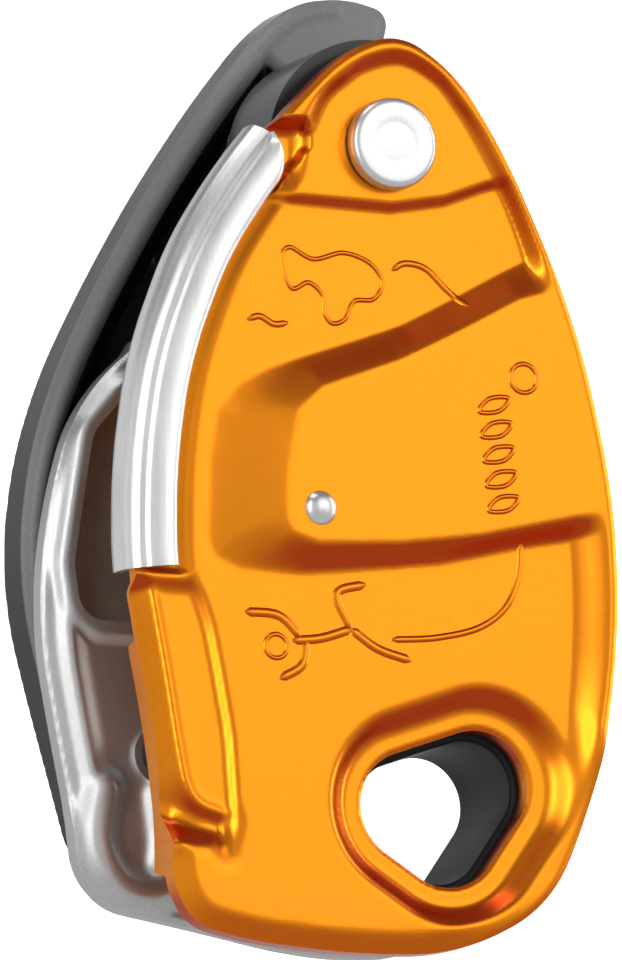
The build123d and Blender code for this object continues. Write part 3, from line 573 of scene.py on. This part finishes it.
# ------------------------------------------------------------------ the moving plate
def moving_sheet(look):
    """The moving plate's grid with the height of its front face and its back face, as Y in millimetres."""
    outline = filleted(MOVING_OUTLINE)
    hole = eye_line()
    sheet = Sheet(outline, look.cell, [hole])
    x, z = sheet.x, sheet.z
    inside = -sheet.edge
    from_eye = distance(x, z, hole)
    rim = ramp(distance(x, z, rounded(RIM_BASE)), -distance(x, z, rounded(RIM_TOP))) * step_up(z, -7.0, 8.0)
    rim *= step_up(from_eye, 3.5, 9.5)
    band = ramp(-distance(x, z, filleted(BAND_BASE, 1.2)), distance(x, z, filleted(BAND_TOP, 0.6)))
    high = 1 - (1 - rim) * (1 - band)
    lift = look.relief * high + 0.8 * step_up(-distance(x, z, filleted(PAD, 1.5)), -0.1, 0.7) * (1 - high)
    # the eye's dish
    lift -= (2.0 + lift) * (1 - step_up(from_eye, look.eye_rim, look.eye_rim + 3.2))
    # the rope guide: a low panel, a flank that falls away on its left and a small hollow under it
    guide_depth = -distance(x, z, rounded(GUIDE_EDGE))
    shelf = np.minimum(step_up(guide_depth, -0.3, 1.0), step_up(25.4 - z, 0.0, 2.6))
    guide = (1 - step_up(-1.5 - z, 0.0, 6.5)) * shelf
    ridge_line = rounded(GUIDE_RIDGE, False)
    ridge_at = np.interp(z, ridge_line[::-1, 1], ridge_line[::-1, 0])
    from_ridge = distance(x, z, ridge_line, closed=False)
    ridge = 0.35 * np.exp(-(from_ridge / 0.7) ** 2) * step_up(24.0 - z, 0.0, 2.0)
    past_ridge = np.where(x < ridge_at, from_ridge, 0.0)
    flank = 1.15 * np.clip(past_ridge, 0, 3.4)
    flank = flank * step_up(25.0 - z, 0.0, 2.0) * (1 - step_up(-0.5 - z, 0.0, 6.5))
    hollow = 0.45 * np.exp(-(distance(x, z, rounded(GUIDE_HOLLOW, False), closed=False) / 1.4) ** 2)
    guided = lift - guide + ridge - flank - hollow
    # the bottom edge and the lower left corner slope back, and the other edges are only rounded
    bottom = step_up(-5.0 - z, 0.0, 4.0) * step_up(12.0 - x, 0.0, 12.0)
    sloped = lift - 0.4 * np.clip(2.4 - inside, 0, None) * bottom
    lift = np.where(guide_depth > -1.0, np.minimum(sloped, guided), sloped)
    lift -= 0.8 * np.clip(0.8 - inside, 0, 0.8) ** 2 * (1 - bottom)
    # a ledge falls away along the edge strip, and the sheet stays flat under it
    beside = step_up(-x, 18.6, 20.4) * step_up(z, 24.6, 26.0) * step_up(79.0 - z, 0.0, 1.5)
    ledge = 0.9 * (1 - step_up(inside, 4.9, 7.4)) * beside
    lift = np.where((beside > 0.02) & (inside < 5.0), np.minimum(lift, 0.0), lift) - ledge
    front = POCKET_FLOOR - softened(lift, look.edge_round, look.cell)
    # the back face follows the front, but not past what lies behind it
    flange = step_up(18.0 - z, 0.0, 1.0) * step_up(z, -10.0, -9.0) * step_up(-x, 29.5, 31.0)
    reach = MOVING_INNER + 3.6 * flange + 0.6 * bottom * (1 - flange)
    reach = np.maximum(reach, MOVING_INNER + 2.0 * (1 - step_up(from_eye, 3.0, 5.2)))
    back = np.where(flange > 0.5, reach, np.minimum(front + SHEET, reach))
    back = np.maximum(back, front + 0.7)
    # small round edge of the eye
    front = front + np.clip(0.6 - from_eye, 0, 0.6) ** 2
    return sheet, front, back


def mark_ribbon(sheet, front, line, closed, width, height, vertices, faces):
    """Adds one raised bead that follows a line over the plate's face."""
    line = np.array(line)
    count = len(line)
    ahead = np.roll(line, -1, axis=0) - np.roll(line, 1, axis=0)
    if not closed:
        ahead[0], ahead[-1] = line[1] - line[0], line[-1] - line[-2]
    ahead /= np.hypot(ahead[:, 0], ahead[:, 1])[:, None]
    across = np.stack([-ahead[:, 1], ahead[:, 0]], axis=1)
    offsets = np.linspace(-1, 1, 7)
    base = len(vertices)
    for k in range(count):
        fade = 1.0 if closed else min(1.0, 0.35 + k / 3, 0.35 + (count - 1 - k) / 3)
        for offset in offsets:
            x, z = line[k] + across[k] * offset * width / 2 * fade
            rise = math.cos(offset * math.pi / 2) * 1.15 - 0.15
            y = float(sheet.sample(front, x, z)) - height * rise * fade
            vertices.append((x * MM, y * MM, z * MM))
    for k in range(count if closed else count - 1):
        a, b = base + k * 7, base + (k + 1) % count * 7
        for s in range(6):
            faces.append((a + s, a + s + 1, b + s + 1, b + s))


def build_marks(sheet, front):
    """Pictures on the moving plate: a plain mitten, rope lines, a stick figure and a row of lozenges."""
    vertices, faces = [], []

    def bead(line, closed, width=0.66, height=0.2):
        mark_ribbon(sheet, front, line, closed, width, height, vertices, faces)

    bead(rounded(HAND_MARK, True, 0.3), True)
    for line in ROPE_MARKS:
        bead(rounded(line, False, 0.3), False, 0.9)
    for line in FIGURE_MARKS:
        bead(rounded(line, False, 0.3), False, 1.25, 0.24)
    for (cx, cz), radius in RING_MARKS:
        bead(circle((cx, cz), radius, 32), True)
    for cx, cz in TWIST_MARKS:
        corners = [(cx - 1.9, cz - 0.9), (cx - 0.6, cz + 0.7), (cx + 1.9, cz + 0.9), (cx + 0.6, cz - 0.7)]
        bead(rounded(corners, True, 0.3), True)
    mesh = bpy.data.meshes.new("front_marks")
    mesh.from_pydata(vertices, [], faces)
    mesh.update()
    for polygon in mesh.polygons:
        polygon.use_smooth = True
    return mesh


def strip_mesh(look):
    """The half-round strip round the plate's left edge, with two grooves along it and a rounded upper end."""
    path = rounded(filleted(MOVING_OUTLINE, None, 1.0), True, 0.4)
    path = path[(path[:, 0] < -19.0) & (path[:, 1] > 25.4) & (path[:, 1] < 78.2)]
    path = path[np.argsort(path[:, 1])]
    ahead = np.gradient(path, axis=0)
    ahead /= np.hypot(ahead[:, 0], ahead[:, 1])[:, None]
    outward = np.stack([-ahead[:, 1], ahead[:, 0]], axis=1)
    length = np.concatenate([[0], np.cumsum(np.hypot(*np.diff(path, axis=0).T))])
    face = look.face
    outer = [(-face, -9.5), (-face, -10.1), (-face + 0.35, -10.45)]
    for t in np.linspace(0, 1, 26):
        angle = math.radians(90 - 90 * t)
        n = -face + 1.0 + (face + 0.4) * math.sin(math.radians(90 * t)) ** 1.15
        y = -10.5 + 3.8 * (1 - math.sin(angle) ** 0.9)
        groove = 0.16 * (math.exp(-((t - 0.42) / 0.035) ** 2) + 0.4 * math.exp(-((t - 0.72) / 0.035) ** 2))
        outer.append((n - groove * 0.5, y + groove))
    outer += [(1.4, -5.6), (1.36, -4.95), (1.15, -4.72), (0.75, -4.7), (0.12, -4.75), (0.1, -6.6)]
    inner = [(-0.35, -7.5), (-1.3, -8.5), (-2.4, -9.0), (-3.6, -9.12)]
    section = np.array(outer + inner)
    count = len(section)
    vertices, faces = [], []
    end = length[-1]
    for k, (point, normal) in enumerate(zip(path, outward)):
        left = end - length[k]
        narrow = math.sqrt(max(0.0, 1 - (1 - min(left, 4.5) / 4.5) ** 2)) if left < 4.5 else 1.0
        for n, y in section:
            n = n if n > -0.4 else -0.4 + (n + 0.4) * max(narrow, 0.04)
            x, z = point + normal * n
            vertices.append((x * MM, y * MM, z * MM))
    for k in range(len(path) - 1):
        for s in range(count):
            t = (s + 1) % count
            faces.append((k * count + s, k * count + t, (k + 1) * count + t, (k + 1) * count + s))
    faces.append(tuple(reversed(range(count))))
    faces.append(tuple(range((len(path) - 1) * count, len(path) * count)))
    mesh = bpy.data.meshes.new("wear_strip")
    mesh.from_pydata(vertices, [], faces)
    mesh.update()
    for polygon in mesh.polygons:
        polygon.use_smooth = True
    mesh.set_sharp_from_angle(angle=math.radians(50))
    return mesh


# ------------------------------------------------------------------ the fixed plate and the handle
def fixed_sheet(look):
    """The fixed plate's grid and faces: a ridge inside its left edge, a framed window and a raised foot."""
    outline = filleted(FIXED_OUTLINE)
    window = filleted(WINDOW, 3.2)
    holes = [window, eye_line(0.84)]
    sheet = Sheet(outline, look.cell, holes)
    x, z = sheet.x, sheet.z
    inside = -sheet.edge
    left = step_up(-x, 22.0, 30.0)
    ridge = left * np.exp(-((inside - 3.2) / 1.7) ** 2) * step_up(86.0 - z, 0.0, 10.0)
    lift = 1.2 * ridge
    lift -= left * 1.3 * (1 - step_up(inside, 0.0, 2.8))
    from_window = distance(x, z, window)
    lift = np.maximum(lift, 1.4 * (1 - step_up(from_window, 1.5, 2.6)))
    for line, width, tall in (
        ([(-37.4, 2.0), (-38.2, -4.0), (-35.6, -9.0), (-30.6, -9.6), (-28.8, -5.0), (-29.4, 1.5)], 2.5, 1.9),
        ([(-25.0, 1.5), (-24.6, -4.0), (-22.4, -8.4), (-15.0, -9.6)], 1.5, 1.5),
    ):
        away = distance(x, z, rounded(line, False), closed=False)
        lift = np.maximum(lift, tall * (1 - step_up(away, 0.25 * width, 1.35 * width)))
    front = FIXED_FRONT - softened(lift, 0.45, look.cell) + np.clip(0.7 - inside, 0, 0.7) ** 2
    back = FIXED_BACK - 0.8 * np.clip(0.5 - inside, 0, 0.5) ** 2
    return sheet, front, back


def handle_sheet(look):
    """The handle's grid and faces: a rounded lip outside a polished hollow, and a flat tab at the tip."""
    outline = filleted(HANDLE_OUTLINE)
    sheet = Sheet(outline, look.cell, [circle(HINGE, 3.05, 48)])
    x, z = sheet.x, sheet.z
    inside = -sheet.edge
    side = rounded(LIP_SIDE)
    outer = step_up(-distance(x, z, side), -0.8, 1.2)
    lip = look.lip
    crown = 1 - ((np.clip(inside, 0, lip) - lip * 0.55) / (lip * 0.55)) ** 2
    lip_lift = 3.9 + 1.3 * crown
    hollow = np.clip((inside - lip) / 6.0, 0, 1)
    lift = np.where(inside < lip, lip_lift, 4.35 * (1 - hollow) ** 2.2) * outer
    low_wall = 1.9 * (1 - step_up(inside, 1.8, 2.8))
    lift = np.maximum(lift, low_wall)
    tab = step_up(z + 0.9 * x, 75.8, 78.4)
    lift = np.maximum(lift, tab * (4.2 + 0.7 * step_up(inside, 0.2, 2.2)))
    boss = 1.9 * (1 - step_up(np.hypot(x - HINGE[0], z - HINGE[1]), 5.2, 5.9))
    lift = np.maximum(lift, boss)
    front = HANDLE_FLOOR - softened(lift, 0.3, look.cell)
    back = HANDLE_BACK - 0.5 * np.clip(1.6 - inside, 0, 1.6) ** 2
    return sheet, front, np.maximum(back, front + 0.4)


# ------------------------------------------------------------------ settings
class BelayPlateSettings(bpy.types.PropertyGroup):
    cell: FloatProperty(
        name="Grid cell", description="Spacing of the plates' mesh, in millimetres",
        default=0.36, min=0.2, max=1.0)
    relief: FloatProperty(
        name="Relief", description="Height of the rim and band above the pockets, in millimetres",
        default=2.2, min=0.5, max=2.2)
    eye_rim: FloatProperty(
        name="Eye rim", description="Width of the flat ring round the eye, in millimetres",
        default=2.0, min=0.5, max=4.0)
    edge_round: FloatProperty(
        name="Edge rounding", description="How softly the pressed edges are rounded, in millimetres",
        default=0.26, min=0.1, max=1.0)


class BelayStripSettings(bpy.types.PropertyGroup):
    face: FloatProperty(
        name="Face width", description="Width of the strip's face, in millimetres",
        default=4.8, min=2.0, max=5.0)


class BelayHandleSettings(bpy.types.PropertyGroup):
    cell: FloatProperty(
        name="Grid cell", description="Spacing of the handle's mesh, in millimetres",
        default=0.4, min=0.2, max=1.0)
    lip: FloatProperty(
        name="Lip width", description="Width of the handle's rounded lip, in millimetres",
        default=2.7, min=2.0, max=5.0)


class BelayStudioSettings(bpy.types.PropertyGroup):
    lens: FloatProperty(
        name="Lens", description="Focal length of the camera, in millimetres",
        default=1000.0, min=35.0, max=2000.0)
    distance: FloatProperty(
        name="Distance", description="From the camera to its aim",
        default=3.094, min=0.1, max=8.0, unit="LENGTH", subtype="DISTANCE")
    wall: FloatProperty(
        name="Wall glow", description="Brightness of the wall away from its bright patch",
        default=0.26, min=0.0, max=1.0)
    sky: FloatProperty(
        name="Dome glow", description="Brightness of the dome over the wall",
        default=0.26, min=0.0, max=1.0)
    surround: FloatProperty(
        name="Surround", description="Brightness of the surround outside the dome",
        default=0.8, min=0.0, max=1.0)
    light: FloatProperty(
        name="Light", description="Strength of all the lamps together",
        default=1.0, min=0.0, max=5.0)
    bevel_steps: IntProperty(
        name="Bevel steps", description="Segments in the small rounded edges of the fittings",
        default=3, min=1, max=6)


# ------------------------------------------------------------------ operators
class BELAY_OT_moving_plate(bpy.types.Operator):
    """Build the pressed front plate and its marks"""
    bl_idname = "belay.moving_plate"
    bl_label = "Moving plate"

    def execute(self, context):
        look = context.scene.belay_plate
        sheet, front, back = moving_sheet(look)
        plate = sheet.mesh("pressed_plate", front, back)
        marks = build_marks(sheet, front)
        orange, body, slot = material("orange"), "swinging_plate", "orange_aluminium"
        add_piece("pressed_plate", plate, orange, body, slot, "moving_side_plate")
        add_piece("front_marks", marks, orange, body, slot)
        return {"FINISHED"}


class BELAY_OT_wear_strip(bpy.types.Operator):
    """Build the brushed edge strip"""
    bl_idname = "belay.wear_strip"
    bl_label = "Wear strip"

    def execute(self, context):
        mesh = strip_mesh(context.scene.belay_strip)
        add_piece("edge_strip", mesh, material("brushed"), "swinging_plate", "stainless", "wear_strip")
        return {"FINISHED"}


class BELAY_OT_fixed_plate(bpy.types.Operator):
    """Build the fixed back plate"""
    bl_idname = "belay.fixed_plate"
    bl_label = "Fixed plate"

    def execute(self, context):
        sheet, front, back = fixed_sheet(context.scene.belay_plate)
        mesh = sheet.mesh("back_plate", front, back)
        add_piece("back_plate", mesh, material("blasted"), "fixed_body", "bare_aluminium", "fixed_side_plate")
        return {"FINISHED"}


class BELAY_OT_handle(bpy.types.Operator):
    """Build the folding handle"""
    bl_idname = "belay.handle"
    bl_label = "Handle"

    def execute(self, context):
        sheet, front, back = handle_sheet(context.scene.belay_handle)
        mesh = sheet.mesh("lever_shell", front, back)
        add_piece("lever_shell", mesh, material("lever"), "handle", "black_nylon", "handle_shell")
        return {"FINISHED"}


# (radius, Y) of the turned pieces, from the front
PIVOT_PROFILE = [
    (0.01, -12.33), (2.1, -12.33), (2.35, -12.3), (2.6, -12.34), (3.4, -12.39), (4.5, -12.4), (4.85, -12.34),
    (5.15, -12.16), (5.33, -11.85), (5.4, -11.45), (5.4, -10.5), (5.25, -10.25), (4.9, -10.2), (4.0, -10.2),
    (4.0, 9.1), (5.5, 9.1), (5.5, 9.4), (5.1, 10.0), (4.4, 10.28), (0.01, 10.3),
]
DOME_PROFILE = [
    (0.01, -12.18), (0.6, -12.15), (1.15, -12.03), (1.6, -11.8), (1.92, -11.5), (2.05, -11.25), (2.05, -10.9),
    (1.05, -10.9), (1.05, -6.9), (0.01, -6.9),
]


class BELAY_OT_rivets(bpy.types.Operator):
    """Build the pivot axle and the small domed rivet"""
    bl_idname = "belay.rivets"
    bl_label = "Pivot and rivet"

    def execute(self, context):
        head = lathe("pivot_head", PIVOT_PROFILE, PIVOT)
        add_piece("pivot_head", head, material("turned"), "fixed_body", "bright_steel", "pivot_axle")
        dome = lathe("small_rivet", DOME_PROFILE, SMALL_RIVET, 64)
        add_piece("small_rivet", dome, material("turned"), "swinging_plate", "bright_steel", "strip_rivet")
        return {"FINISHED"}


FINISHES = {
    "pivot_bush": "bronze", "cam_bush": "bronze", "hinge_bush": "bronze", "window_wear_plate": "worn_steel",
    "wear_plate_rivets": "turned", "eye_liner": "black", "guide_stud": "black", "guide_stud_ring": "turned",
    "hub_spacer": "grey", "hub_rivets": "turned", "thrust_washer": "white", "friction_shoe": "dark_steel",
    "shoe_rivets": "turned", "cam_spring": "wire", "cam": "turned", "cam_axle": "turned",
    "lever_carrier": "brushed",
    "axle_nut": "turned", "hinge_pin": "turned", "handle_insert": "gloss", "handle_rivets": "turned",
    "selector_knob": "black", "selector_screw": "turned",
}


class BELAY_OT_fittings(bpy.types.Operator):
    """Give the carried-over fittings rounded edges and their finishes"""
    bl_idname = "belay.fittings"
    bl_label = "Fittings"

    def execute(self, context):
        steps = context.scene.belay_studio.bevel_steps
        for name, finish in FINISHES.items():
            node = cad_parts[name]
            node.data.materials.clear()
            node.data.materials.append(material(finish))
            bevel = node.modifiers.new("rounded_edges", "BEVEL")
            bevel.width = 0.0006 if name == "hub_spacer" else 0.00018
            bevel.segments = steps
            bevel.limit_method = "ANGLE"
            bevel.angle_limit = math.radians(40)
            bevel.harden_normals = False
        return {"FINISHED"}


def softbox(name, place, aim, size, power, colour=(1.0, 1.0, 1.0)):
    """A rectangular lamp, in metres, that points at its aim."""
    data = bpy.data.lights.new(name, "AREA")
    data.shape = "RECTANGLE"
    data.size, data.size_y = size
    data.energy = power
    data.color = colour
    lamp = bpy.data.objects.new(name, data)
    lamp.location = place
    lamp.rotation_euler = (Vector(aim) - Vector(place)).to_track_quat("-Z", "Y").to_euler()
    bpy.context.scene.collection.objects.link(lamp)


def turned_stage(name, profile, finish, steps=72):
    """A round stage piece about the Z axis from its profile of (radius, Z), in metres."""
    turn = [2 * math.pi * k / steps for k in range(steps)]
    vertices = [(r * math.cos(a), r * math.sin(a), z) for r, z in profile for a in turn]
    faces = []
    for ring in range(len(profile) - 1):
        low, high = ring * steps, (ring + 1) * steps
        faces += [(low + k, low + (k + 1) % steps, high + (k + 1) % steps, high + k) for k in range(steps)]
    mesh = bpy.data.meshes.new(name)
    mesh.from_pydata(vertices, [], faces)
    for polygon in mesh.polygons:
        polygon.use_smooth = True
    mesh.materials.append(finish)
    piece = bpy.data.objects.new(name, mesh)
    bpy.context.scene.collection.objects.link(piece)


class BELAY_OT_studio(bpy.types.Operator):
    """Build the floor, the lamps and the camera"""
    bl_idname = "belay.studio"
    bl_label = "Studio"

    def execute(self, context):
        studio = context.scene.belay_studio
        scene = context.scene
        # a round floor that curves up into a wall and a dome; floor and wall glow, with a painted pool of
        # light on the wall behind the object
        flat, bend, depth = 22.0, 8.0, 2.2
        profile = [(0.0, -depth), (flat, -depth)]
        for degrees in range(6, 91, 6):
            a = math.radians(degrees)
            profile.append((flat + bend * math.sin(a), bend - depth - bend * math.cos(a)))
        wall_top, crown = 16.0, 24.0
        profile.append((flat + bend, wall_top))
        turns = [math.radians(degrees) for degrees in range(0, 91, 10)]
        dome = [((flat + bend) * math.cos(a), wall_top + crown * math.sin(a)) for a in turns]
        nodes = Nodes("pale_floor")
        nodes.put("Base Color", nodes.mix(nodes.noise(0.8), (0.84, 0.84, 0.84), (0.88, 0.88, 0.88)))
        nodes.put("Roughness", 0.8)
        nodes.put("Emission Color", (1.0, 1.0, 1.0, 1.0))
        # painted light: the floor and wall glow, brightest in a pool round a point on the wall behind the
        # object and fading to the wall glow setting further away
        patch = {0: nodes.place, 1: (11.6, 26.4, 5.2)}
        lit = nodes.new("ShaderNodeVectorMath", patch, operation="DISTANCE").outputs["Value"]
        nodes.put("Emission Strength", nodes.span(lit, 1.0, studio.wall, 2.4, 8.8))
        turned_stage("floor", profile, nodes.material)
        # the dome only glows: it throws back no light of its own surroundings
        nodes = Nodes("dome_glow")
        nodes.put("Base Color", (0.0, 0.0, 0.0, 1.0))
        nodes.put("Specular IOR Level", 0.0)
        nodes.put("Emission Color", (0.92, 0.95, 1.0, 1.0))
        nodes.put("Emission Strength", studio.sky)
        turned_stage("dome", dome, nodes.material)
        world = bpy.data.worlds.new("studio")
        world.use_nodes = True
        world.node_tree.nodes["Background"].inputs["Color"].default_value = (0.92, 0.95, 1.0, 1.0)
        world.node_tree.nodes["Background"].inputs["Strength"].default_value = studio.surround
        scene.world = world
        aim = Vector((-0.01673, -0.00649, 0.03766))
        power = studio.light
        softbox("front_box", aim + Vector((0.38, -0.80, 0.34)), aim, (0.60, 0.62), 1.5 * power)
        softbox("top_box", aim + Vector((-0.25, -0.06, 0.75)), aim, (0.8, 0.22), 1.5 * power)
        softbox("left_box", aim + Vector((-0.74, -0.60, 0.16)), aim, (0.22, 0.8), 2.8 * power)
        softbox("right_box", aim + Vector((0.78, -0.20, 0.22)), aim, (0.14, 0.7), 1.4 * power)
        data = bpy.data.cameras.new("camera")
        data.lens = studio.lens
        data.sensor_width = 36.0
        data.clip_start = 0.01
        data.clip_end = 120.0
        camera = bpy.data.objects.new("camera", data)
        back = Vector((-0.4011, -0.9010, -0.1650)).normalized()
        camera.location = aim + back * studio.distance
        camera.rotation_euler = (-back).to_track_quat("-Z", "Y").to_euler()
        scene.collection.objects.link(camera)
        scene.camera = camera
        scene.view_settings.view_transform = "Standard"
        return {"FINISHED"}


class BELAY_PT_panel(bpy.types.Panel):
    """Builds the pieces of the belay device"""
    bl_label = "Belay device"
    bl_idname = "BELAY_PT_panel"
    bl_space_type = "VIEW_3D"
    bl_region_type = "UI"
    bl_category = "Belay"

    def draw(self, context):
        for operator in OPERATORS:
            self.layout.operator(operator.bl_idname)
        for name in SETTINGS:
            settings = getattr(context.scene, name)
            box = self.layout.box()
            for key in settings.__annotations__:
                box.prop(settings, key)


OPERATORS = [
    BELAY_OT_moving_plate, BELAY_OT_wear_strip, BELAY_OT_fixed_plate, BELAY_OT_handle, BELAY_OT_rivets,
    BELAY_OT_fittings, BELAY_OT_studio,
]
SETTINGS = {
    "belay_plate": BelayPlateSettings, "belay_strip": BelayStripSettings, "belay_handle": BelayHandleSettings,
    "belay_studio": BelayStudioSettings,
}


def register():
    for group in SETTINGS.values():
        bpy.utils.register_class(group)
    for operator in OPERATORS:
        bpy.utils.register_class(operator)
    bpy.utils.register_class(BELAY_PT_panel)
    for name, group in SETTINGS.items():
        setattr(bpy.types.Scene, name, PointerProperty(type=group))


def unregister():
    for name in SETTINGS:
        delattr(bpy.types.Scene, name)
    bpy.utils.unregister_class(BELAY_PT_panel)
    for operator in reversed(OPERATORS):
        bpy.utils.unregister_class(operator)
    for group in reversed(list(SETTINGS.values())):
        bpy.utils.unregister_class(group)


def main():
    register()
    bpy.ops.belay.moving_plate()
    bpy.ops.belay.wear_strip()
    bpy.ops.belay.fixed_plate()
    bpy.ops.belay.handle()
    bpy.ops.belay.rivets()
    bpy.ops.belay.fittings()
    bpy.ops.belay.studio()
    bpy.context.view_layer.update()


if __name__ == "__main__":
    main()
